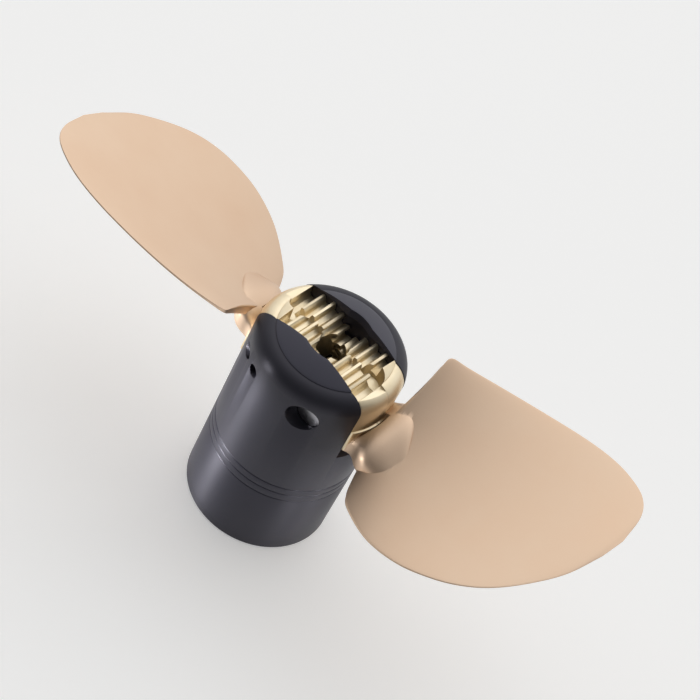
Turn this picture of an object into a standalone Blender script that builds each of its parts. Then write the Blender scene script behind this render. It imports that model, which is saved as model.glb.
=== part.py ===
"""Two-blade geared folding propeller with a round hub, blades open.

Frame: metres, +Z along the shaft and pointing aft, origin at the middle of
the hub's forward face, +X along the open blade A, +Y along the pivot pins.
"""
import math

import bmesh
import bpy
from mathutils import Matrix, Vector

MM = 0.001

# Hub
HUB_RADIUS = 48.0
HUB_LENGTH = 164.3
DOME_RADIUS = 84.0
PLATEAU_RADIUS = 37.3
SHOULDER_RADIUS = 11.0
SHOULDER_START = 144.0
FRONT_CHAMFER = 1.5
GROOVE_HEIGHTS = (66.2, 60.3, 54.2)
GROOVE_DEPTH = 0.5
SLOT_HALF_WIDTH = 20.4
SLOT_FLOOR = 102.0
AFT_BORE_RADIUS = 22.2
BUSH_SEAT = 68.0

# Pivots: each pin goes in from one side and ends blind in the other cheek
PIN_X = 20.2
PIN_Z = 133.7
PIN_HOLE_RADIUS = 9.35
PIN_RADIUS = 9.05
PIN_OPEN_END = 35.7
PIN_BLIND_END = 35.5
DRIFT_HOLE_RADIUS = 3.9
SCREW_Y = 34.6
SCREW_HOLE_RADIUS = 4.4
SCREW_INNER_END = 24.5
SCREW_OUTER_END = 28.2

# Gear sector on each blade root
TEETH_PER_TURN = 16
PRESSURE_ANGLE = math.radians(20.0)
TIP_RADIUS = 22.35
ROOT_RADIUS = 17.4
BACKLASH_ANGLE = math.radians(0.6)
ROOT_SIDE_GAP = 0.4
WRENCH_RADIUS = 9.5
FOOT_DEPTH = 31.4
STEP_LEVEL = -7.4
WALL_TOP = 19.5

# Blade surface: pitch, rake and drop of its middle sheet
PITCH = 245.8
RAKE = 0.275
SHEET_DROP = 22.65
# Rows across the blade: leading x, y, trailing x, y, thickness, edge thickness
BLADE_ROWS = ((52, -12, 51.7, 20, 11, 6), (57.5, -19, 51.4, 32, 11, 5),
              (61.5, -29, 50.7, 42, 10.5, 4), (67, -41, 51.5, 48.5, 10, 3),
              (75, -50, 62, 52, 9.5, 2), (97.5, -62, 86, 58, 8, 1.5),
              (121, -65.5, 113, 63, 6.8, 1.3), (142, -61.5, 140, 66.5, 5.6, 1.2),
              (158, -54, 161, 67, 4.8, 1.2), (171, -43, 177, 64, 4.2, 1.2),
              (183, -27, 190, 58, 3.5, 1.2), (192.5, -9.5, 197.5, 47, 2.8, 1.2),
              (198.5, 12, 200.5, 28, 1.4, 1.2))
# Rows along the neck: x, middle y, half width, middle height, cross slope, half depth
NECK_ROWS = ((34, 0, 19.5, -16.5, 0.15, 6.0), (42, 0, 19.5, -15.0, 0.30, 8.0),
             (47, 0, 19.6, -12.0, 0.42, 10.0), (51, 0, 20.9, -10.2, 0.46, 10.6),
             (56, -2, 22.5, -9.2, 0.46, 10.6), (61, -5, 21.5, -8.6, 0.47, 9.8),
             (66, -8, 18.5, -8.6, 0.50, 8.4), (71, -11, 14, -8.6, 0.54, 6.4),
             (76, -13.5, 8.5, -8.2, 0.57, 4.0), (79, -14.5, 4, -8.0, 0.58, 2.2))
NECK_SQUARENESS = 0.6

# Shaft parts
BUSH_RADIUS = 27.7
SLEEVE_RADIUS = 21.0
SPLINE_RADIUS = 16.5
SPLINE_DEPTH = 1.8
SPLINE_COUNT = 17
WASHER_RADIUS = 18.0
WASHER_THICKNESS = 4.0
BOLT_HEAD_RADIUS = 12.0
BOLT_HEAD_HEIGHT = 12.0
BOLT_RADIUS = 8.0
BOLT_END = 42.0
GAP = 0.3


def clear_scene():
    for item in list(bpy.data.objects):
        bpy.data.objects.remove(item, do_unlink=True)


def collection(name):
    group = bpy.data.collections.new(name)
    bpy.context.scene.collection.children.link(group)
    return group


def material(name, colour, roughness, metallic):
    made = bpy.data.materials.new(name)
    made.use_nodes = True
    shader = made.node_tree.nodes["Principled BSDF"]
    shader.inputs["Base Color"].default_value = (*colour, 1.0)
    shader.inputs["Roughness"].default_value = roughness
    shader.inputs["Metallic"].default_value = metallic
    return made


def add_object(name, mesh, group, finish=None):
    made = bpy.data.objects.new(name, mesh)
    group.objects.link(made)
    if finish is not None:
        mesh.materials.append(finish)
        mesh.shade_smooth()
        mesh.set_sharp_from_angle(angle=math.radians(30.0))
    else:
        made.hide_render = True
        made.display_type = "WIRE"
    return made


def mesh_from(bm, name):
    bmesh.ops.recalc_face_normals(bm, faces=bm.faces)
    mesh = bpy.data.meshes.new(name)
    bm.to_mesh(mesh)
    bm.free()
    return mesh


def turned(name, profile, group, finish=None, steps=96):
    """Solid of revolution about Z: (radius, height) points in mm, from top to bottom.

    A profile that doesn't start on the axis is closed into a ring.
    """
    mesh = bpy.data.meshes.new(name)
    points = [(radius * MM, 0.0, height * MM) for radius, height in profile]
    edges = [(index, index + 1) for index in range(len(points) - 1)]
    if profile[0][0] > 0.0:
        edges.append((len(points) - 1, 0))
    mesh.from_pydata(points, edges, [])
    made = add_object(name, mesh, group, finish)
    turn = made.modifiers.new("Turn", "SCREW")
    turn.axis = "Z"
    turn.steps = steps
    turn.render_steps = steps
    turn.use_merge_vertices = True
    turn.merge_threshold = 0.00005
    turn.use_normal_calculate = True
    return made


def cylinder(name, radius, start, end, steps=48):
    """Closed round bar between two points given in mm."""
    start = Vector(start)
    end = Vector(end)
    axis = end - start
    bm = bmesh.new()
    bmesh.ops.create_cone(bm, cap_ends=True, segments=steps, radius1=radius * MM,
                          radius2=radius * MM, depth=axis.length * MM)
    turn = Vector((0, 0, 1)).rotation_difference(axis).to_matrix().to_4x4()
    place = Matrix.Translation((start + end) * 0.5 * MM) @ turn
    bmesh.ops.transform(bm, matrix=place, verts=bm.verts)
    return mesh_from(bm, name)


def block(name, low, high):
    """Closed box between two corners given in mm."""
    bm = bmesh.new()
    bmesh.ops.create_cube(bm, size=1.0)
    for vert in bm.verts:
        vert.co = Vector([(low[i] if vert.co[i] < 0 else high[i]) * MM for i in range(3)])
    return mesh_from(bm, name)


def plate(name, outline, thickness, place):
    """Mesh of a flat outline in mm, filled and pulled both ways, moved by a matrix."""
    curve = bpy.data.curves.new(name, "CURVE")
    curve.dimensions = "2D"
    curve.fill_mode = "BOTH"
    curve.extrude = 0.5 * thickness * MM
    line = curve.splines.new("POLY")
    line.points.add(len(outline) - 1)
    for point, (across, up) in zip(line.points, outline):
        point.co = (across * MM, up * MM, 0.0, 1.0)
    line.use_cyclic_u = True
    drawn = bpy.data.objects.new(name, curve)
    mesh = bpy.data.meshes.new_from_object(drawn)
    bpy.data.objects.remove(drawn)
    bm = bmesh.new()
    bm.from_mesh(mesh)
    bpy.data.meshes.remove(mesh)
    bmesh.ops.remove_doubles(bm, verts=bm.verts, dist=0.000001)
    bmesh.ops.transform(bm, matrix=place, verts=bm.verts)
    return mesh_from(bm, name)


def lofted(name, loops):
    """Closed solid through equal rings of points in mm."""
    bm = bmesh.new()
    rings = [[bm.verts.new(Vector(point) * MM) for point in loop] for loop in loops]
    count = len(rings[0])
    for low, high in zip(rings, rings[1:]):
        for index in range(count):
            after = (index + 1) % count
            bm.faces.new((low[index], low[after], high[after], high[index]))
    bm.faces.new(rings[0])
    bm.faces.new(list(reversed(rings[-1])))
    return mesh_from(bm, name)


def boolean(target, tool, operation):
    step = target.modifiers.new(operation.title() + " " + tool.name, "BOOLEAN")
    step.operation = operation
    step.object = tool
    step.solver = "EXACT"


def smooth_row(rows, share):
    """Row on a smooth curve through the given rows, share from 0 to 1."""
    spans = len(rows) - 1
    place = min(share * spans, spans - 1e-9)
    index = int(place)
    t = place - index
    p1 = Vector(rows[index])
    p2 = Vector(rows[index + 1])
    p0 = Vector(rows[index - 1]) if index > 0 else 2 * p1 - p2
    p3 = Vector(rows[index + 2]) if index + 2 <= spans else 2 * p2 - p1
    return 0.5 * ((2 * p1) + (p2 - p0) * t + (2 * p0 - 5 * p1 + 4 * p2 - p3) * t * t
                  + (3 * p1 - p0 - 3 * p2 + p3) * t ** 3)


def sheet_height(x, y):
    """Height of the blade's middle sheet over the pin level, in mm."""
    radius = math.hypot(x, y)
    return RAKE * radius - SHEET_DROP + PITCH * math.atan2(y, x) / math.tau


def blade_rings():
    """Rings of points around the blade, from its inner edge to its tip."""
    across = 14
    stations = 32
    rings = []
    for station in range(stations + 1):
        row = smooth_row(BLADE_ROWS, station / stations)
        lead = Vector(row[0:2])
        trail = Vector(row[2:4])
        upper = []
        lower = []
        for index in range(across + 1):
            t = 0.5 - 0.5 * math.cos(math.pi * index / across)
            x, y = lead.lerp(trail, t)
            z = sheet_height(x, y)
            half = 0.5 * (row[5] + (row[4] - row[5]) * (4 * t * (1 - t)) ** 0.8)
            upper.append((x - PIN_X, y, z + half))
            lower.append((x - PIN_X, y, z - half))
        rings.append(upper + lower[::-1])
    return rings


def squared(share):
    """Bring a sine or cosine nearer to 1, so that a round section gets squarer."""
    return math.copysign(abs(share) ** NECK_SQUARENESS, share)


def neck_rings():
    """Rings of the thick neck between the root block and the blade."""
    stations = 20
    rings = []
    for station in range(stations + 1):
        x, middle, half_width, height, slope, depth = smooth_row(NECK_ROWS, station / stations)
        ring = []
        for step in range(28):
            angle = math.tau * (step + 0.5) / 28
            across = squared(math.cos(angle)) * half_width
            up = squared(math.sin(angle)) * depth
            ring.append((x - PIN_X, middle + across, height + slope * across + up))
        rings.append(ring)
    return rings


def involute(angle):
    return math.tan(angle) - angle


def tooth_half_angle(radius):
    base = PIN_X * math.cos(PRESSURE_ANGLE)
    at_pitch = math.pi / TEETH_PER_TURN / 2 - BACKLASH_ANGLE
    here = math.acos(min(1.0, base / max(radius, base)))
    return at_pitch + involute(PRESSURE_ANGLE) - involute(here)


def on_circle(radius, degrees):
    angle = math.radians(degrees)
    return (radius * math.cos(angle), radius * math.sin(angle))


def root_outline(first_tooth):
    """Root outline about the pin axis, as (across, up) points in mm."""
    outline = [(10.5, -FOOT_DEPTH), (13.0, -24.0), (17.0, -21.5), (26.0, -22.5),
               (26.0, STEP_LEVEL), (40.0, STEP_LEVEL), (40.0, WALL_TOP), (16.7, WALL_TOP),
               (16.2, 13.5), (14.2, 11.8), (11.8, 12.3), (9.6, 14.5)]
    centre = first_tooth
    while centre < 195.0:
        flank = [ROOT_RADIUS, 18.6, 19.9, 21.2, TIP_RADIUS]
        for radius in flank:
            outline.append(on_circle(radius, centre - math.degrees(tooth_half_angle(radius))))
        for radius in reversed(flank):
            outline.append(on_circle(radius, centre + math.degrees(tooth_half_angle(radius))))
        centre += 360.0 / TEETH_PER_TURN
    for degrees in (215.0, 230.0, 245.0, 258.0, 270.0):
        outline.append(on_circle(ROOT_RADIUS, degrees))
    outline.append((0.0, -FOOT_DEPTH))
    return outline


def hub_profile(inset=0.0):
    """Outer profile of the hub from the edge of its aft bore to its front face."""
    centre = HUB_RADIUS - SHOULDER_RADIUS
    profile = []
    for radius in (AFT_BORE_RADIUS, 27.0, 32.0, PLATEAU_RADIUS):
        sag = DOME_RADIUS - math.sqrt(DOME_RADIUS ** 2 - radius ** 2)
        profile.append((radius, HUB_LENGTH - sag - inset))
    for step in range(9):
        angle = math.radians(87.0) * (8 - step) / 8
        profile.append((centre + (SHOULDER_RADIUS - inset) * math.cos(angle),
                        SHOULDER_START + (SHOULDER_RADIUS - inset) * math.sin(angle)))
    side = HUB_RADIUS - inset
    for height in GROOVE_HEIGHTS:
        profile += [(side, height + GROOVE_DEPTH), (side - GROOVE_DEPTH, height),
                    (side, height - GROOVE_DEPTH)]
    return profile + [(side, FRONT_CHAMFER), (side - FRONT_CHAMFER, 0.0)]


def make_hub(parts, cutters, finish):
    seat_radius = BUSH_RADIUS + GAP
    bores = [(seat_radius, 0.0), (seat_radius, BUSH_SEAT), (AFT_BORE_RADIUS, BUSH_SEAT)]
    hub = turned("hub_body", hub_profile() + bores, parts, finish)
    blind = PIN_BLIND_END + GAP
    slot = block("slot", (-60, -SLOT_HALF_WIDTH, SLOT_FLOOR), (60, SLOT_HALF_WIDTH, 180))
    cuts = [("slot", slot)]
    for side in (-1, 1):
        x = side * PIN_X
        cuts.append(("pin bore", cylinder("pin bore", PIN_HOLE_RADIUS, (x, -side * 60, PIN_Z),
                                          (x, side * blind, PIN_Z))))
        cuts.append(("drift hole", cylinder("drift hole", DRIFT_HOLE_RADIUS, (x, side * 25, PIN_Z),
                                            (x, side * 60, PIN_Z), 24)))
        cuts.append(("screw hole", cylinder("screw hole", SCREW_HOLE_RADIUS,
                                            (side * SCREW_INNER_END, side * SCREW_Y, PIN_Z),
                                            (side * 60, side * SCREW_Y, PIN_Z), 24)))
    for label, mesh in cuts:
        boolean(hub, add_object(label, mesh, cutters), "DIFFERENCE")


def make_blade(name, parts, cutters, finish):
    """Blade casting about its own pin axis, which runs along Y through its origin."""
    width = SLOT_HALF_WIDTH - ROOT_SIDE_GAP
    upright = Matrix(((1, 0, 0, 0), (0, 0, -1, 0), (0, 1, 0, 0), (0, 0, 0, 1)))
    near = Matrix.Translation((0.0, -0.5 * width * MM, 0.0)) @ upright
    far = Matrix.Translation((0.0, 0.5 * width * MM, 0.0)) @ upright
    half_pitch = 180.0 / TEETH_PER_TURN
    blade = add_object(name, plate(name, root_outline(90.0), width, near), parts, finish)
    far_row = add_object("far row", plate("far row", root_outline(90.0 - half_pitch), width, far),
                         cutters)
    boolean(blade, far_row, "UNION")
    outline = [(0.0, HUB_LENGTH - GAP)] + hub_profile(GAP) + [(0.0, 0.0)]
    outer = turned("root turning", outline, cutters)
    outer.location = (-PIN_X * MM, 0.0, -PIN_Z * MM)
    boolean(blade, outer, "INTERSECT")
    wrench = cylinder("wrench way", WRENCH_RADIUS, (-PIN_X, 0, -60), (-PIN_X, 0, 60), 32)
    boolean(blade, add_object("wrench way", wrench, cutters), "DIFFERENCE")
    boolean(blade, add_object("neck", lofted("neck", neck_rings()), cutters), "UNION")
    boolean(blade, add_object("sheet", lofted("sheet", blade_rings()), cutters), "UNION")
    bore = cylinder("blade bore", PIN_HOLE_RADIUS, (0, -40, 0), (0, 40, 0))
    boolean(blade, add_object("blade bore", bore, cutters), "DIFFERENCE")
    return blade


def make_pins(parts, cutters, steel):
    for side, mark in ((1, "a"), (-1, "b")):
        x = side * PIN_X
        pin = cylinder("pivot_pin_" + mark, PIN_RADIUS, (x, -side * PIN_OPEN_END, PIN_Z),
                       (x, side * PIN_BLIND_END, PIN_Z))
        pin = add_object("pivot_pin_" + mark, pin, parts, steel)
        notch = cylinder("pin notch", SCREW_HOLE_RADIUS, (side * SCREW_INNER_END, side * SCREW_Y, PIN_Z),
                         (side * 40, side * SCREW_Y, PIN_Z), 24)
        boolean(pin, add_object("pin notch", notch, cutters), "DIFFERENCE")
        screw = cylinder("set_screw_" + mark, SCREW_HOLE_RADIUS - GAP,
                         (side * (SCREW_INNER_END + GAP), side * SCREW_Y, PIN_Z),
                         (side * SCREW_OUTER_END, side * SCREW_Y, PIN_Z), 24)
        screw = add_object("set_screw_" + mark, screw, parts, steel)
        socket = cylinder("screw socket", 2.3, (side * (SCREW_OUTER_END - 2.2), side * SCREW_Y, PIN_Z),
                          (side * 40, side * SCREW_Y, PIN_Z), 6)
        boolean(screw, add_object("screw socket", socket, cutters), "DIFFERENCE")


def make_shaft_parts(parts, cutters, steel, bronze, rubber):
    top = BUSH_SEAT - GAP
    bush = cylinder("rubber_bush", BUSH_RADIUS, (0, 0, 3), (0, 0, top), 64)
    bush = add_object("rubber_bush", bush, parts, rubber)
    core = cylinder("bush core", SLEEVE_RADIUS + GAP, (0, 0, -5), (0, 0, 80), 64)
    boolean(bush, add_object("bush core", core, cutters), "DIFFERENCE")
    sleeve = cylinder("spline_sleeve", SLEEVE_RADIUS, (0, 0, 1), (0, 0, top), 64)
    sleeve = add_object("spline_sleeve", sleeve, parts, bronze)
    ring = []
    for step in range(SPLINE_COUNT * 4):
        deep = step % 4 in (1, 2)
        radius = SPLINE_RADIUS + (SPLINE_DEPTH if deep else 0.0)
        lean = 0.2 if step % 4 in (0, 1) else -0.2
        ring.append(on_circle(radius, 360.0 * (step + lean) / (SPLINE_COUNT * 4)))
    splines = plate("splines", ring, 90.0, Matrix.Translation((0.0, 0.0, 0.04)))
    boolean(sleeve, add_object("splines", splines, cutters), "DIFFERENCE")
    seat = BUSH_SEAT
    washer = cylinder("thrust_washer", WASHER_RADIUS, (0, 0, seat), (0, 0, seat + WASHER_THICKNESS), 48)
    washer = add_object("thrust_washer", washer, parts, steel)
    hole = cylinder("washer hole", BOLT_RADIUS + GAP, (0, 0, 0), (0, 0, 90), 32)
    boolean(washer, add_object("washer hole", hole, cutters), "DIFFERENCE")
    head = seat + WASHER_THICKNESS + GAP
    crown = head + BOLT_HEAD_HEIGHT
    bolt = turned("hub_bolt", ((0.0, crown), (BOLT_HEAD_RADIUS - 1, crown),
                               (BOLT_HEAD_RADIUS, crown - 1), (BOLT_HEAD_RADIUS, head),
                               (BOLT_RADIUS, head), (BOLT_RADIUS, BOLT_END), (0.0, BOLT_END)),
                  parts, steel, 48)
    socket = cylinder("bolt socket", 7.0, (0, 0, head + 4), (0, 0, head + 30), 6)
    boolean(bolt, add_object("bolt socket", socket, cutters), "DIFFERENCE")


def main():
    clear_scene()
    parts = collection("folding propeller")
    cutters = collection("cutters")
    coating = material("Hub coating", (0.035, 0.035, 0.043), 0.38, 0.4)
    bronze = material("Blade bronze", (0.74, 0.55, 0.36), 0.35, 0.9)
    steel = material("Stainless steel", (0.55, 0.55, 0.56), 0.3, 1.0)
    rubber = material("Rubber", (0.02, 0.02, 0.02), 0.8, 0.0)
    make_hub(parts, cutters, coating)
    for name, turn in (("blade_a", 0.0), ("blade_b", math.pi)):
        blade = make_blade(name, parts, cutters, bronze)
        pivot = bpy.data.objects.new(name + " pivot", None)
        parts.objects.link(pivot)
        pivot.location = (PIN_X * math.cos(turn) * MM, 0.0, PIN_Z * MM)
        pivot.rotation_euler = (0.0, 0.0, turn)
        blade.parent = pivot
        for step in blade.modifiers:
            step.object.parent = pivot
    make_pins(parts, cutters, steel)
    make_shaft_parts(parts, cutters, steel, bronze, rubber)


main()
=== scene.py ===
"""Looks of a two-blade geared folding propeller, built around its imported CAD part.

Sizes are in millimetres unless a name says otherwise, in the frame of the part:
+Z along the shaft and pointing aft, +X along the open blade A, +Y along the pins.
"""
import math

import bmesh
import bpy
from mathutils import Matrix, Quaternion, Vector

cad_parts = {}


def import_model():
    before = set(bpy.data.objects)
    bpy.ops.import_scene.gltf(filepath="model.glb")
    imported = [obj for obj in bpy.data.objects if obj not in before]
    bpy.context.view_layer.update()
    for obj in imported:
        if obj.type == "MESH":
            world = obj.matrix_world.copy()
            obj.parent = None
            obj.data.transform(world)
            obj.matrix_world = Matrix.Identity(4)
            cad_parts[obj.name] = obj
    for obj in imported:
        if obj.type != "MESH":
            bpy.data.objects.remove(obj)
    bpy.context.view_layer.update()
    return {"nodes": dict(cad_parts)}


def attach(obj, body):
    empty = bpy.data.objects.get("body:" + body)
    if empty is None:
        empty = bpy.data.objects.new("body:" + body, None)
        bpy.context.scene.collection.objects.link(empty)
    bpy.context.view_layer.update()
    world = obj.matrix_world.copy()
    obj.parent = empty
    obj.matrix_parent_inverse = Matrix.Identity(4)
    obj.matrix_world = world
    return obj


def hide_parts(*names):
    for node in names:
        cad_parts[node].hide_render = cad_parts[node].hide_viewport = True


MM = 0.001

# Hub
HUB_RADIUS = 48.0
HUB_LENGTH = 164.3
DOME_RADIUS = 84.0
PLATEAU_RADIUS = 37.3
SHOULDER_RADIUS = 11.0
SHOULDER_START = 144.0
SHOULDER_SWEEP = math.radians(87.0)
SHOULDER_STEPS = 16
DOME_STEPS = 8
# Painted light: above this height the hub's colour turns paler over a short blend, to light its top face
PAINTED_LIGHT_TOP_HEIGHT = 155.2
PAINTED_LIGHT_TOP_BLEND = 0.1
FRONT_CHAMFER = 1.5
GROOVE_HEIGHTS = (66.2, 60.3, 54.2)
GROOVE_DEPTH = 0.5
SLOT_HALF_WIDTH = 20.4
SLOT_FLOOR = 102.0
AFT_BORE_RADIUS = 22.2
SEAT_RADIUS = 28.0
SEAT_HEIGHT = 68.0

# Pivots
PIN_X = 20.2
PIN_Z = 133.7
PIN_HOLE_RADIUS = 9.35
PIN_RADIUS = 9.05
PIN_OPEN_END = 35.7
PIN_BLIND_END = 35.5
DRIFT_HOLE_RADIUS = 3.9
DRIFT_HOLE_START = 25.0
SCREW_Y = 34.6
SCREW_HOLE_RADIUS = 4.4
SCREW_INNER_END = 24.5
SCREW_OUTER_END = 28.2
SOCKET_RADIUS = 2.3
SOCKET_DEPTH = 2.2

# Gear sector and root of each blade
TEETH_PER_TURN = 16
PRESSURE_ANGLE = math.radians(20.0)
TIP_RADIUS = 22.35
ROOT_RADIUS = 17.4
BACKLASH_ANGLE = math.radians(0.6)
ROOT_SIDE_GAP = 0.4
WRENCH_RADIUS = 9.5
FOOT_DEPTH = 31.4
STEP_LEVEL = -7.4
WALL_TOP = 19.5
POCKET_X = 9.8
POCKET_RADIUS = 8.0
POCKET_FLOOR = 12.0
POCKET_Y = -0.5
BLOCK_X = 9.6
BLOCK_SIDE_LOW = 14.0
BLOCK_SIDE_END = 16.5
ROW_GAP = 0.4
ROW_FOOT = -9.0
LEDGE_RADIUS = 48.9
LEDGE_TOP = -5.4
RELIEF_DEPTH = 1.5
RELIEF_RADIUS = 50.9
RELIEF_FLOOR = -11.0
RELIEF_END = 5.0
GAP = 0.3
# Radii at which a tooth's flank has its points
FLANK_RADII = (ROOT_RADIUS, 18.0, 18.8, 19.6, 20.4, 21.2, 21.9, TIP_RADIUS)
# Angles about the pin in degrees: past the last tooth, and the round heel below it
TEETH_END = 195.0
HEEL_START = 214.0
HEEL_STEP = 7.0

# How far a cutter runs past what it cuts, and how widely every sharp edge is broken
REACH = 60.0
BORE_REACH = 40.0
HUB_EDGE = 0.35
FINE_EDGE = 0.3
PIN_EDGE = 0.5

# Blade surface: pitch, rake and drop of its middle sheet
PITCH = 245.8
RAKE = 0.275
SHEET_DROP = 22.65
SECTION_FULLNESS = 0.8
RIM_ROUNDING = 0.35
# Rows across the blade: leading x, y, trailing x, y, thickness, edge thickness
BLADE_ROWS = ((52, -12, 51.7, 20, 11, 6), (57.5, -19, 51.4, 32, 11, 5),
              (61.5, -29, 50.7, 42, 10.5, 4), (67, -41, 51.5, 48.5, 10, 3),
              (75, -50, 62, 52, 9.5, 2), (97.5, -62, 86, 58, 8, 1.5),
              (121, -65.5, 113, 63, 6.8, 1.3), (142, -61.5, 140, 66.5, 5.6, 1.2),
              (158, -54, 161, 66.9, 4.8, 1.2), (171, -43, 177, 64, 4.2, 1.2),
              (183, -27, 190, 58, 3.5, 1.2), (192.5, -9.5, 197.5, 47, 2.8, 1.2),
              (198.5, 12, 200.5, 28, 1.4, 1.2))
# Rows along the neck: x, middle y, half width, middle height, cross slope, half depth
NECK_ROWS = ((34, 0, 19.5, -16.5, 0.15, 6.0), (42, 0, 19.5, -15.0, 0.30, 8.0),
             (47, 0, 19.6, -12.0, 0.28, 10.0), (51, 0, 20.9, -10.0, 0.28, 10.6),
             (56, -2, 22.5, -8.8, 0.30, 10.6), (61, -5, 21.5, -8.2, 0.36, 9.8),
             (66, -8, 18.5, -8.4, 0.44, 8.4), (71, -11, 14, -8.6, 0.52, 6.4),
             (76, -13.5, 8.5, -8.2, 0.57, 4.0), (79, -14.5, 4, -8.0, 0.58, 2.2))
NECK_SQUARENESS = 0.6

# Corners closer than this are merged, in metres
MERGE_DISTANCE = 0.00001
# Edges that turn by more than this stay sharp or are rounded, in degrees
SMOOTH_ANGLE = 32.0

# Sockets of a colour Mix node, whose names are shared by its other kinds
MIX_FACTOR = 0
MIX_FIRST = 6
MIX_SECOND = 7
MIX_RESULT = 2

# Brighter side of the room, as a direction
BRIGHT_SIDE = (-0.25, 0.75, 0.6)

# Camera: place in metres, the way it looks, and its roll to the right
CAMERA_PLACE = (0.2875, -0.7488, 1.0152)
LOOK_AZIMUTH = math.radians(-69.68)
LOOK_ELEVATION = math.radians(47.05)
CAMERA_ROLL = math.radians(29.15)
CAMERA_LENS = 102.857


def colour(hex_code):
    """Linear colour from an sRGB hex code."""
    parts = [int(hex_code[index:index + 2], 16) / 255 for index in (1, 3, 5)]
    return tuple(part / 12.92 if part <= 0.04045 else ((part + 0.055) / 1.055) ** 2.4
                 for part in parts) + (1.0,)


def scale_for(size):
    """Texture scale that gives spots of about the given size in millimetres."""
    return 1000.0 / size


def feed(tree, node, inputs):
    """Give inputs of a node, by name or number, a value or another node's socket."""
    for name, value in inputs.items():
        if isinstance(value, bpy.types.NodeSocket):
            tree.links.new(value, node.inputs[name])
        else:
            node.inputs[name].default_value = value


def add_node(tree, kind, inputs, **settings):
    """Add a node with its settings and links."""
    node = tree.nodes.new(kind)
    for name, value in settings.items():
        setattr(node, name, value)
    feed(tree, node, inputs)
    return node


def material(name):
    """New material, with its node tree, its shader and the place on the piece."""
    made = bpy.data.materials.new(name)
    made.use_nodes = True
    tree = made.node_tree
    place = add_node(tree, "ShaderNodeTexCoord", {}).outputs["Object"]
    return made, tree, tree.nodes["Principled BSDF"], place


def anodised_aluminium():
    """Turned, bead-blasted and dark anodised: satin, with a streak of light along the shaft.
    The aft end is given a paler colour than the turned sides: painted light, so that the top face reads
    lighter."""
    made, tree, shader, place = material("Satin dark anodised aluminium")
    height = add_node(tree, "ShaderNodeSeparateXYZ", {"Vector": place})
    # Painted light: the top face gets the paler of the two colours below, the turned sides the darker
    # one.
    painted_light_top = add_node(tree, "ShaderNodeMapRange", {
        "Value": height.outputs["Z"], "From Min": PAINTED_LIGHT_TOP_HEIGHT * MM,
        "From Max": (PAINTED_LIGHT_TOP_HEIGHT + PAINTED_LIGHT_TOP_BLEND) * MM})
    tone = add_node(tree, "ShaderNodeMix", {
        MIX_FACTOR: painted_light_top.outputs["Result"], MIX_FIRST: colour("#191920"),
        MIX_SECOND: colour("#3A3A44")}, data_type="RGBA")
    cloud = add_node(tree, "ShaderNodeTexNoise", {
        "Vector": place, "Scale": scale_for(17.0), "Detail": 3.0})
    rough = add_node(tree, "ShaderNodeMapRange", {
        "Value": cloud.outputs["Fac"], "To Min": 0.37, "To Max": 0.43})
    # The blasted grain is 0.1 mm in truth; it is drawn coarser so that a pixel can hold it.
    grain = add_node(tree, "ShaderNodeTexNoise", {
        "Vector": place, "Scale": scale_for(0.4), "Detail": 2.0})
    bump = add_node(tree, "ShaderNodeBump", {
        "Height": grain.outputs["Fac"], "Strength": 0.12, "Distance": 0.2 * MM})
    tangent = add_node(tree, "ShaderNodeTangent", {}, direction_type="RADIAL", axis="Z")
    feed(tree, shader, {
        "Base Color": tone.outputs[MIX_RESULT], "Roughness": rough.outputs["Result"],
        "Normal": bump.outputs["Normal"], "Tangent": tangent.outputs["Tangent"],
        "Anisotropic": 0.7, "Anisotropic Rotation": 0.25, "Specular Tint": colour("#F1EEFF")})
    return made


def satin_bronze():
    """Nickel aluminium bronze, cast and then ground by hand: pale gold, soft and cloudy."""
    made, tree, shader, place = material("Satin ground nickel aluminium bronze")
    cloud = add_node(tree, "ShaderNodeTexNoise", {
        "Vector": place, "Scale": scale_for(45.0), "Detail": 4.0})
    tone = add_node(tree, "ShaderNodeMix", {
        MIX_FACTOR: cloud.outputs["Fac"], MIX_FIRST: colour("#D8B99E"),
        MIX_SECOND: colour("#E4CCB4")}, data_type="RGBA")
    rough = add_node(tree, "ShaderNodeMapRange", {
        "Value": cloud.outputs["Fac"], "To Min": 0.42, "To Max": 0.52})
    # Marks of the grinding belt, 0.3 mm in truth and drawn coarser.
    marks = add_node(tree, "ShaderNodeTexNoise", {
        "Vector": place, "Scale": scale_for(1.1), "Detail": 3.0})
    bump = add_node(tree, "ShaderNodeBump", {
        "Height": marks.outputs["Fac"], "Strength": 0.08, "Distance": 0.3 * MM})
    feed(tree, shader, {
        "Base Color": tone.outputs[MIX_RESULT], "Roughness": rough.outputs["Result"],
        "Normal": bump.outputs["Normal"], "Metallic": 1.0})
    return made


def milled_bronze_painted_lighter():
    """The same bronze where a cutter has been over it, with its cutter marks; its colour is painted
    brighter and more yellow, as painted light on the shaded gear teeth.
    """
    made, tree, shader, place = material("Milled nickel aluminium bronze painted lighter")
    cloud = add_node(tree, "ShaderNodeTexNoise", {
        "Vector": place, "Scale": scale_for(11.0), "Detail": 3.0})
    # Painted light: these colours are paler than the cast skin's, to lighten the gear teeth where they
    # lie in shade.
    tone = add_node(tree, "ShaderNodeMix", {
        MIX_FACTOR: cloud.outputs["Fac"], MIX_FIRST: colour("#E6D3AE"),
        MIX_SECOND: colour("#F2E6CC")}, data_type="RGBA")
    # Cutter marks, about 0.2 mm apart in truth and drawn coarser.
    marks = add_node(tree, "ShaderNodeTexNoise", {
        "Vector": place, "Scale": scale_for(1.4), "Detail": 2.0})
    bump = add_node(tree, "ShaderNodeBump", {
        "Height": marks.outputs["Fac"], "Strength": 0.15, "Distance": 0.3 * MM})
    feed(tree, shader, {
        "Base Color": tone.outputs[MIX_RESULT], "Normal": bump.outputs["Normal"],
        "Metallic": 1.0, "Roughness": 0.38})
    return made


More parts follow.
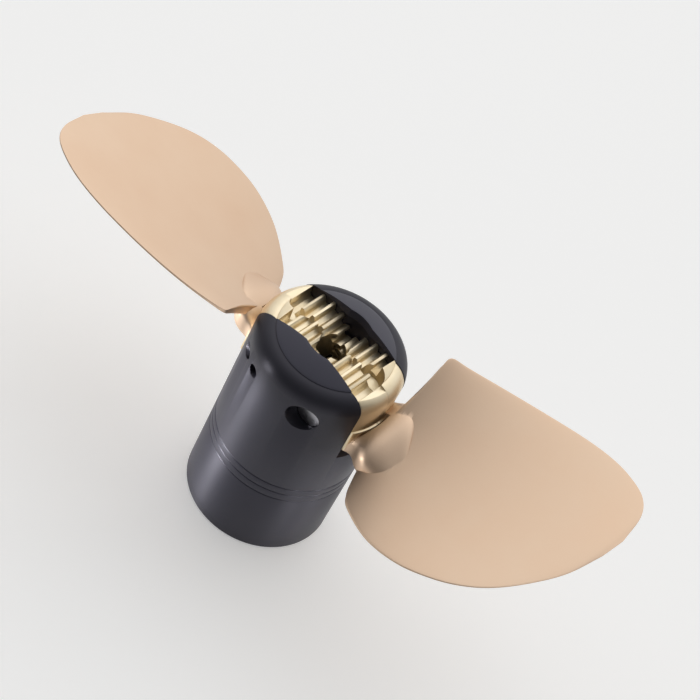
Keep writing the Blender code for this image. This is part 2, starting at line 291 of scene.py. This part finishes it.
def ground_stainless():
    """Stainless bar ground between centres: neutral grey with fine marks."""
    made, tree, shader, place = material("Ground stainless steel")
    # Grinding marks, under 0.1 mm apart in truth and drawn coarser.
    marks = add_node(tree, "ShaderNodeTexNoise", {
        "Vector": place, "Scale": scale_for(1.2), "Detail": 2.0})
    tone = add_node(tree, "ShaderNodeMix", {
        MIX_FACTOR: marks.outputs["Fac"], MIX_FIRST: colour("#A5A4A9"),
        MIX_SECOND: colour("#B8B7BC")}, data_type="RGBA")
    rough = add_node(tree, "ShaderNodeMapRange", {
        "Value": marks.outputs["Fac"], "To Min": 0.28, "To Max": 0.4})
    feed(tree, shader, {
        "Base Color": tone.outputs[MIX_RESULT], "Roughness": rough.outputs["Result"],
        "Metallic": 1.0})
    return made


def moulded_rubber():
    """Moulded black rubber: matt, with a fine leathery grain."""
    made, tree, shader, place = material("Moulded black rubber")
    grain = add_node(tree, "ShaderNodeTexNoise", {
        "Vector": place, "Scale": scale_for(0.8), "Detail": 2.0})
    tone = add_node(tree, "ShaderNodeMix", {
        MIX_FACTOR: grain.outputs["Fac"], MIX_FIRST: colour("#161617"),
        MIX_SECOND: colour("#1E1E20")}, data_type="RGBA")
    bump = add_node(tree, "ShaderNodeBump", {
        "Height": grain.outputs["Fac"], "Strength": 0.3, "Distance": 0.2 * MM})
    feed(tree, shader, {
        "Base Color": tone.outputs[MIX_RESULT], "Normal": bump.outputs["Normal"],
        "Roughness": 0.75})
    return made


def backlit_acrylic():
    """White acrylic of a light table: it glows a little, so that shadows on it stay pale."""
    made, tree, shader, _place = material("Backlit white acrylic")
    feed(tree, shader, {
        "Emission Color": colour("#FFFFFF"), "Emission Strength": 0.33,
        "Base Color": colour("#E6E6E5"), "Roughness": 0.9, "Specular IOR Level": 0.1})
    return made


def only(piece):
    """Make one object the active and only selected one, in object mode."""
    bpy.ops.object.select_all(action="DESELECT")
    piece.select_set(True)
    bpy.context.view_layer.objects.active = piece
    return piece


def edit_all(piece):
    only(piece)
    bpy.ops.object.mode_set(mode="EDIT")
    bpy.ops.mesh.select_all(action="SELECT")


def leave_edit():
    bpy.ops.object.mode_set(mode="OBJECT")


def loop_of(name, points, filled):
    """A circle primitive whose corners are moved to the given points."""
    bpy.ops.object.select_all(action="DESELECT")
    bpy.ops.mesh.primitive_circle_add(vertices=len(points), fill_type="NGON" if filled else "NOTHING")
    piece = bpy.context.object
    piece.name = name
    for vertex, point in zip(piece.data.vertices, points):
        vertex.co = Vector(point) * MM
    return piece


def turned(name, profile, steps=192):
    """Spin a closed (radius, height) loop once round the shaft axis."""
    piece = loop_of(name, [(radius, 0.0, height) for radius, height in profile], False)
    edit_all(piece)
    bpy.ops.mesh.spin(steps=steps, angle=math.tau, center=(0, 0, 0), axis=(0, 0, 1))
    bpy.ops.mesh.select_all(action="SELECT")
    bpy.ops.mesh.remove_doubles(threshold=2 * MERGE_DISTANCE)
    bpy.ops.mesh.normals_make_consistent(inside=False)
    leave_edit()
    return piece


def plate(name, outline, y_low, y_high):
    """Fill an (across, up) outline and extrude it along the pins."""
    piece = loop_of(name, [(across, y_low, up) for across, up in outline], True)
    edit_all(piece)
    way = (0, (y_high - y_low) * MM, 0)
    bpy.ops.mesh.extrude_region_move(TRANSFORM_OT_translate={"value": way})
    bpy.ops.mesh.select_all(action="SELECT")
    bpy.ops.mesh.normals_make_consistent(inside=False)
    leave_edit()
    return piece


def bar(name, radius, start, end, sides=64):
    """Round bar between two points."""
    start = Vector(start) * MM
    end = Vector(end) * MM
    axis = end - start
    bpy.ops.object.select_all(action="DESELECT")
    turn = Vector((0, 0, 1)).rotation_difference(axis).to_euler()
    bpy.ops.mesh.primitive_cylinder_add(vertices=sides, radius=radius * MM, depth=axis.length,
                                        location=(start + end) / 2, rotation=turn)
    piece = bpy.context.object
    piece.name = name
    bpy.ops.object.transform_apply(location=True, rotation=True, scale=True)
    return piece


def box(name, low, high):
    middle = [(low[axis] + high[axis]) / 2 * MM for axis in range(3)]
    bpy.ops.object.select_all(action="DESELECT")
    bpy.ops.mesh.primitive_cube_add(size=1, location=middle)
    piece = bpy.context.object
    piece.name = name
    piece.scale = [(high[axis] - low[axis]) * MM for axis in range(3)]
    bpy.ops.object.transform_apply(location=True, rotation=True, scale=True)
    return piece


def apply_modifier(piece, label):
    only(piece)
    bpy.ops.object.modifier_apply(modifier=label)


def carve(piece, tool, operation="DIFFERENCE"):
    step = piece.modifiers.new("Carve", "BOOLEAN")
    step.operation = operation
    step.solver = "EXACT"
    step.object = tool
    apply_modifier(piece, "Carve")
    bpy.data.objects.remove(tool)


def merge_flat_faces(piece):
    """Join the pieces of each flat face, so that its edges round evenly."""
    edit_all(piece)
    bpy.ops.mesh.remove_doubles(threshold=MERGE_DISTANCE)
    bpy.ops.mesh.dissolve_limited(angle_limit=math.radians(0.5))
    leave_edit()


def round_edges(piece, width, segments=2):
    """Break every sharp edge by a small radius."""
    step = piece.modifiers.new("Round", "BEVEL")
    step.width = width * MM
    step.segments = segments
    step.limit_method = "ANGLE"
    step.angle_limit = math.radians(SMOOTH_ANGLE)
    step.use_clamp_overlap = True
    apply_modifier(piece, "Round")


def smooth(piece, angle=SMOOTH_ANGLE):
    only(piece)
    bpy.ops.object.shade_smooth_by_angle(angle=math.radians(angle))


def smooth_row(rows, share):
    """Row on a smooth curve through the given rows, share from 0 to 1."""
    spans = len(rows) - 1
    place = min(share * spans, spans - 1e-9)
    index = int(place)
    t = place - index
    p1 = Vector(rows[index])
    p2 = Vector(rows[index + 1])
    p0 = Vector(rows[index - 1]) if index > 0 else 2 * p1 - p2
    p3 = Vector(rows[index + 2]) if index + 2 <= spans else 2 * p2 - p1
    return 0.5 * ((2 * p1) + (p2 - p0) * t + (2 * p0 - 5 * p1 + 4 * p2 - p3) * t * t
                  + (3 * p1 - p0 - 3 * p2 + p3) * t ** 3)


def lofted(name, loops):
    """Closed skin through equal rings of points, for shapes that no spin or extrusion gives."""
    bm = bmesh.new()
    rings = [[bm.verts.new(Vector(point) * MM) for point in loop] for loop in loops]
    count = len(rings[0])
    for low, high in zip(rings, rings[1:]):
        for index in range(count):
            after = (index + 1) % count
            bm.faces.new((low[index], low[after], high[after], high[index]))
    bm.faces.new(rings[0])
    bm.faces.new(list(reversed(rings[-1])))
    bmesh.ops.recalc_face_normals(bm, faces=bm.faces)
    mesh = bpy.data.meshes.new(name)
    bm.to_mesh(mesh)
    bm.free()
    piece = bpy.data.objects.new(name, mesh)
    bpy.context.scene.collection.objects.link(piece)
    return piece


def sheet_height(x, y):
    radius = math.hypot(x, y)
    return RAKE * radius - SHEET_DROP + PITCH * math.atan2(y, x) / math.tau


def blade_rings(stations=110, across=40):
    """Rings round the blade from its inner edge to its tip, with rounded rims."""
    rings = []
    for station in range(stations + 1):
        row = smooth_row(BLADE_ROWS, station / stations)
        lead = Vector(row[0:2])
        trail = Vector(row[2:4])
        span = (trail - lead).normalized()
        lead += span * RIM_ROUNDING
        trail -= span * RIM_ROUNDING
        upper = []
        lower = []
        for index in range(across + 1):
            t = 0.5 - 0.5 * math.cos(math.pi * index / across)
            x, y = lead.lerp(trail, t)
            z = sheet_height(x, y)
            half = 0.5 * (row[5] + (row[4] - row[5]) * (4 * t * (1 - t)) ** SECTION_FULLNESS)
            upper.append((x - PIN_X, y, z + half))
            lower.append((x - PIN_X, y, z - half))
        tail = trail + span * RIM_ROUNDING
        nose = lead - span * RIM_ROUNDING
        rim = (tail.x - PIN_X, tail.y, sheet_height(*tail))
        front = (nose.x - PIN_X, nose.y, sheet_height(*nose))
        rings.append([front] + upper + [rim] + lower[::-1])
    return rings


def squared(share):
    """Bring a sine or cosine nearer to 1, so that a round section gets squarer."""
    return math.copysign(abs(share) ** NECK_SQUARENESS, share)


def neck_rings(stations=48, sides=64):
    """Rings along the neck, from inside the gear sector to its end on the blade."""
    rings = []
    for station in range(stations + 1):
        x, middle, half_width, height, slope, depth = smooth_row(NECK_ROWS, station / stations)
        ring = []
        for step in range(sides):
            angle = math.tau * (step + 0.5) / sides
            across = squared(math.cos(angle)) * half_width
            up = squared(math.sin(angle)) * depth
            ring.append((x - PIN_X, middle + across, height + slope * across + up))
        rings.append(ring)
    return rings


def involute(angle):
    return math.tan(angle) - angle


def tooth_half_angle(radius):
    """Half the angle that an involute tooth fills at a radius, about the pin."""
    base = PIN_X * math.cos(PRESSURE_ANGLE)
    at_pitch = math.pi / TEETH_PER_TURN / 2 - BACKLASH_ANGLE
    here = math.acos(min(1.0, base / max(radius, base)))
    return at_pitch + involute(PRESSURE_ANGLE) - involute(here)


def on_circle(radius, degrees):
    angle = math.radians(degrees)
    return (radius * math.cos(angle), radius * math.sin(angle))


def root_outline(first_tooth, inner_side):
    """Root outline about the pin axis, as (across, up) points."""
    outline = [(10.5, -FOOT_DEPTH), (13.0, -24.0), (17.0, -21.5), (26.0, -22.5),
               (26.0, STEP_LEVEL), (40.0, STEP_LEVEL)] + inner_side
    centre = first_tooth
    while centre < TEETH_END:
        for radius in FLANK_RADII:
            outline.append(on_circle(radius, centre - math.degrees(tooth_half_angle(radius))))
        for radius in reversed(FLANK_RADII):
            outline.append(on_circle(radius, centre + math.degrees(tooth_half_angle(radius))))
        centre += 360.0 / TEETH_PER_TURN
    for step in range(9):
        outline.append(on_circle(ROOT_RADIUS, HEEL_START + HEEL_STEP * step))
    outline.append((0.0, -FOOT_DEPTH))
    return outline


def hub_cap(inset=0.0):
    """Dome and shoulder of the hub as (radius, height) points, from the aft bore outwards."""
    centre = HUB_RADIUS - SHOULDER_RADIUS
    profile = []
    for step in range(DOME_STEPS + 1):
        radius = AFT_BORE_RADIUS + (PLATEAU_RADIUS - AFT_BORE_RADIUS) * step / DOME_STEPS
        sag = DOME_RADIUS - math.sqrt(DOME_RADIUS ** 2 - radius ** 2)
        profile.append((radius, HUB_LENGTH - sag - inset))
    for step in range(SHOULDER_STEPS + 1):
        angle = SHOULDER_SWEEP * (SHOULDER_STEPS - step) / SHOULDER_STEPS
        profile.append((centre + (SHOULDER_RADIUS - inset) * math.cos(angle),
                        SHOULDER_START + (SHOULDER_RADIUS - inset) * math.sin(angle)))
    return profile


def groove(height):
    """Turned groove in the side of the hub, with a rounded bottom."""
    return [(HUB_RADIUS - share * GROOVE_DEPTH, height + rise * GROOVE_DEPTH)
            for share, rise in ((0.0, 1.0), (0.8, 0.4), (1.0, 0.0), (0.8, -0.4), (0.0, -1.0))]


def make_hub(finish):
    """Turned shell with its slot, and the pin, drift and screw holes in both cheeks."""
    grooves = [point for height in GROOVE_HEIGHTS for point in groove(height)]
    front = [(HUB_RADIUS, FRONT_CHAMFER), (HUB_RADIUS - FRONT_CHAMFER, 0.0)]
    bores = [(SEAT_RADIUS, 0.0), (SEAT_RADIUS, SEAT_HEIGHT), (AFT_BORE_RADIUS, SEAT_HEIGHT)]
    hub = turned("hub_shell", hub_cap() + grooves + front + bores)
    carve(hub, box("slot", (-REACH, -SLOT_HALF_WIDTH, SLOT_FLOOR),
                   (REACH, SLOT_HALF_WIDTH, 3 * REACH)))
    for side in (-1, 1):
        x = side * PIN_X
        carve(hub, bar("pin bore", PIN_HOLE_RADIUS, (x, -side * REACH, PIN_Z),
                       (x, side * (PIN_BLIND_END + GAP), PIN_Z)))
        carve(hub, bar("drift hole", DRIFT_HOLE_RADIUS, (x, side * DRIFT_HOLE_START, PIN_Z),
                       (x, side * REACH, PIN_Z), 40))
        carve(hub, bar("screw hole", SCREW_HOLE_RADIUS, (side * SCREW_INNER_END, side * SCREW_Y, PIN_Z),
                       (side * REACH, side * SCREW_Y, PIN_Z), 40))
    merge_flat_faces(hub)
    round_edges(hub, HUB_EDGE)
    smooth(hub)
    hub.data.materials.append(finish)
    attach(hub, "hub")
    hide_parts("hub_body")


def about_pin(piece):
    """Move a piece that is made about the shaft so that the pin axis becomes its origin."""
    piece.data.transform(Matrix.Translation((-PIN_X * MM, 0.0, -PIN_Z * MM)))
    return piece


def make_root(milled_painted_lighter):
    """Gear sector and end wall: two halves side by side, half a tooth apart."""
    width = SLOT_HALF_WIDTH - ROOT_SIDE_GAP
    half_pitch = 180.0 / TEETH_PER_TURN
    channel = [(40.0, WALL_TOP), (17.6, WALL_TOP), (17.1, 13.5), (15.2, 11.8),
               (11.6, 12.0), (9.7, 13.5)]
    block = [(40.0, 35.0), (11.2, 35.0), (10.4, 24.0), (BLOCK_X, 14.5)]
    root = plate("root", root_outline(90.0 - 2 * half_pitch, channel), -width, 0.0)
    far = plate("far half", root_outline(90.0 - half_pitch, block), 0.0, width)
    carve(far, bar("pocket", POCKET_RADIUS, (POCKET_X, POCKET_Y, POCKET_FLOOR),
                   (POCKET_X, POCKET_Y, REACH)))
    carve(root, far, "UNION")
    ledge = [(HUB_RADIUS - GAP, PIN_Z + LEDGE_TOP), (LEDGE_RADIUS, PIN_Z + LEDGE_TOP),
             (LEDGE_RADIUS, 0.0), (0.0, 0.0)]
    envelope = turned("root turning", [(0.0, HUB_LENGTH - GAP)] + hub_cap(GAP) + ledge)
    carve(root, about_pin(envelope), "INTERSECT")
    carve(root, bar("wrench way", WRENCH_RADIUS, (-PIN_X, 0, -REACH), (-PIN_X, 0, REACH)))
    carve(root, bar("bore", PIN_HOLE_RADIUS, (0, -BORE_REACH, 0), (0, BORE_REACH, 0)))
    # The root's many small faces must not be merged first: that leaves open edges.
    round_edges(root, FINE_EDGE)
    part_rows(root)
    # The gear sector takes the milled bronze, whose colour is painted lighter.
    root.data.materials.append(milled_painted_lighter)
    return root


def part_rows(root):
    """Narrow slit between the two rows of teeth, so that the rows of both blades pass each other."""
    side = ROW_GAP / 2
    past = 5
    slit = bar("slit", TIP_RADIUS + 1.0, (0, -side, 0), (0, side, 0), 96)
    carve(slit, bar("slit core", ROOT_RADIUS, (0, -past, 0), (0, past, 0), 96))
    carve(slit, box("below the teeth", (-REACH, -past, -REACH), (REACH, past, ROW_FOOT)))
    carve(slit, box("behind the teeth", (BLOCK_X, -past, -REACH), (REACH, past, REACH)))
    carve(root, slit)
    carve(root, box("side of the block", (BLOCK_X - 1, -side, BLOCK_SIDE_LOW),
                    (BLOCK_SIDE_END, side, REACH)))


def make_blades(skin, milled_painted_lighter):
    """One casting, and its copy turned half round the shaft."""
    blade = make_root(milled_painted_lighter)
    blade.name = "blade_a_casting"
    blade.data.materials.append(skin)
    neck = lofted("neck", neck_rings())
    inner = HUB_RADIUS - RELIEF_DEPTH
    relief = [(inner, PIN_Z + RELIEF_FLOOR), (RELIEF_RADIUS, PIN_Z + RELIEF_FLOOR),
              (RELIEF_RADIUS, PIN_Z + REACH), (inner, PIN_Z + REACH)]
    ring = about_pin(turned("relief", relief))
    far_off = 100
    carve(ring, box("relief end", (-far_off, RELIEF_END, -2 * far_off), (far_off, far_off, 2 * far_off)))
    carve(neck, ring)
    carve(neck, bar("neck bore", PIN_HOLE_RADIUS, (0, -BORE_REACH, 0), (0, BORE_REACH, 0)))
    for part in (neck, lofted("sheet", blade_rings())):
        part.data.materials.clear()
        part.data.materials.append(milled_painted_lighter)
        part.data.materials.append(skin)
        for face in part.data.polygons:
            face.material_index = 1
        carve(blade, part, "UNION")
    smooth(blade, 30.0)
    blade.data.transform(Matrix.Translation((PIN_X * MM, 0.0, PIN_Z * MM)))
    only(blade)
    bpy.ops.object.duplicate()
    other = bpy.context.object
    other.name = "blade_b_casting"
    other.data.transform(Matrix.Rotation(math.pi, 4, "Z"))
    for piece, node in ((blade, "blade_a"), (other, "blade_b")):
        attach(piece, node)
        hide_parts(node)


def make_pins(steel):
    """Cross pins and the screws that lock them, one pair to each blade."""
    for side, mark in ((1, "a"), (-1, "b")):
        x = side * PIN_X
        pin = bar("pin_" + mark, PIN_RADIUS, (x, -side * PIN_OPEN_END, PIN_Z),
                  (x, side * PIN_BLIND_END, PIN_Z), 96)
        carve(pin, bar("pin notch", SCREW_HOLE_RADIUS, (side * SCREW_INNER_END, side * SCREW_Y, PIN_Z),
                       (side * BORE_REACH, side * SCREW_Y, PIN_Z), 40))
        merge_flat_faces(pin)
        round_edges(pin, PIN_EDGE, 3)
        screw = bar("lock_screw_" + mark, SCREW_HOLE_RADIUS - GAP,
                    (side * (SCREW_INNER_END + GAP), side * SCREW_Y, PIN_Z),
                    (side * SCREW_OUTER_END, side * SCREW_Y, PIN_Z), 48)
        socket_floor = side * (SCREW_OUTER_END - SOCKET_DEPTH)
        carve(screw, bar("socket", SOCKET_RADIUS, (socket_floor, side * SCREW_Y, PIN_Z),
                         (side * BORE_REACH, side * SCREW_Y, PIN_Z), 6))
        merge_flat_faces(screw)
        round_edges(screw, FINE_EDGE)
        for piece, node in ((pin, "pivot_pin_" + mark), (screw, "set_screw_" + mark)):
            smooth(piece)
            piece.data.materials.append(steel)
            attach(piece, "hub")
            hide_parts(node)


def dress_shaft_parts(nodes, steel, bronze, rubber):
    for name, finish in (("rubber_bush", rubber), ("spline_sleeve", bronze),
                         ("thrust_washer", steel), ("hub_bolt", steel)):
        nodes[name].data.materials.clear()
        nodes[name].data.materials.append(finish)


def make_camera():
    data = bpy.data.cameras.new("Camera")
    data.lens = CAMERA_LENS
    data.sensor_width = 36.0
    data.clip_start = 0.01
    camera = bpy.data.objects.new("Camera", data)
    bpy.context.scene.collection.objects.link(camera)
    camera.location = CAMERA_PLACE
    back = Vector((math.cos(LOOK_ELEVATION) * math.cos(LOOK_AZIMUTH),
                   math.cos(LOOK_ELEVATION) * math.sin(LOOK_AZIMUTH), math.sin(LOOK_ELEVATION)))
    camera.rotation_mode = "QUATERNION"
    camera.rotation_quaternion = back.to_track_quat("Z", "Y") @ Quaternion((0, 0, 1), CAMERA_ROLL)
    bpy.context.scene.camera = camera


def area_light(name, azimuth, elevation, aim, distance, size, power, spread=180.0):
    """Softbox that looks at a point, in degrees, metres and watts. Aim gives how far to the
    right of the shaft the point lies, seen from the light, and its height."""
    data = bpy.data.lights.new(name, "AREA")
    data.shape = "RECTANGLE"
    data.size, data.size_y = size
    data.energy = power
    data.spread = math.radians(spread)
    light = bpy.data.objects.new(name, data)
    bpy.context.scene.collection.objects.link(light)
    azimuth = math.radians(azimuth)
    elevation = math.radians(elevation)
    way = Vector((math.cos(elevation) * math.cos(azimuth),
                  math.cos(elevation) * math.sin(azimuth), math.sin(elevation)))
    right = Vector((-math.sin(azimuth), math.cos(azimuth), 0.0))
    light.location = right * aim[0] + Vector((0, 0, aim[1])) + way * distance
    light.rotation_mode = "QUATERNION"
    light.rotation_quaternion = way.to_track_quat("Z", "Y")


def make_room():
    """Pale room that is brighter on one side, which gives the blades their soft shading."""
    world = bpy.data.worlds.new("Studio")
    bpy.context.scene.world = world
    world.use_nodes = True
    tree = world.node_tree
    way = add_node(tree, "ShaderNodeTexCoord", {}).outputs["Generated"]
    facing = add_node(tree, "ShaderNodeVectorMath", {0: way, 1: BRIGHT_SIDE}, operation="DOT_PRODUCT")
    strength = add_node(tree, "ShaderNodeMapRange", {
        "Value": facing.outputs["Value"], "From Min": 0.0, "From Max": 0.95,
        "To Min": 0.15, "To Max": 1.12})
    feed(tree, tree.nodes["Background"], {
        "Color": (1.0, 1.0, 1.0, 1.0), "Strength": strength.outputs["Result"]})
    bpy.context.scene.view_settings.view_transform = "Standard"


def make_floor(finish):
    bpy.ops.object.select_all(action="DESELECT")
    bpy.ops.mesh.primitive_plane_add(size=12.0)
    floor = bpy.context.object
    floor.name = "floor"
    floor.data.materials.append(finish)


def make_lights():
    """One broad softbox above, and narrow ones for the streaks along the hub and on the neck."""
    area_light("Top softbox", azimuth=120.0, elevation=60.0, aim=(0.0, 0.1), distance=1.5,
               size=(1.2, 1.2), power=1.5)
    area_light("Gridded strip", azimuth=-128.0, elevation=0.0, aim=(-0.0075, 0.066), distance=0.9,
               size=(0.075, 0.14), power=0.105, spread=3.0)
    area_light("Neck spot", azimuth=-128.0, elevation=0.0, aim=(0.062, 0.118), distance=0.9,
               size=(0.04, 0.04), power=0.0011, spread=3.0)
    for azimuth in (-20.0, 5.0):
        area_light("Gridded strip", azimuth=azimuth, elevation=0.0, aim=(0.0, 0.05), distance=0.9,
                   size=(0.12, 0.09), power=0.016, spread=5.0)


def main():
    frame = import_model()
    make_camera()
    make_room()
    make_floor(backlit_acrylic())
    make_lights()
    steel = ground_stainless()
    bronze = satin_bronze()
    milled_painted_lighter = milled_bronze_painted_lighter()
    make_hub(anodised_aluminium())
    make_blades(bronze, milled_painted_lighter)
    make_pins(steel)
    dress_shaft_parts(frame["nodes"], steel, bronze, moulded_rubber())


main()
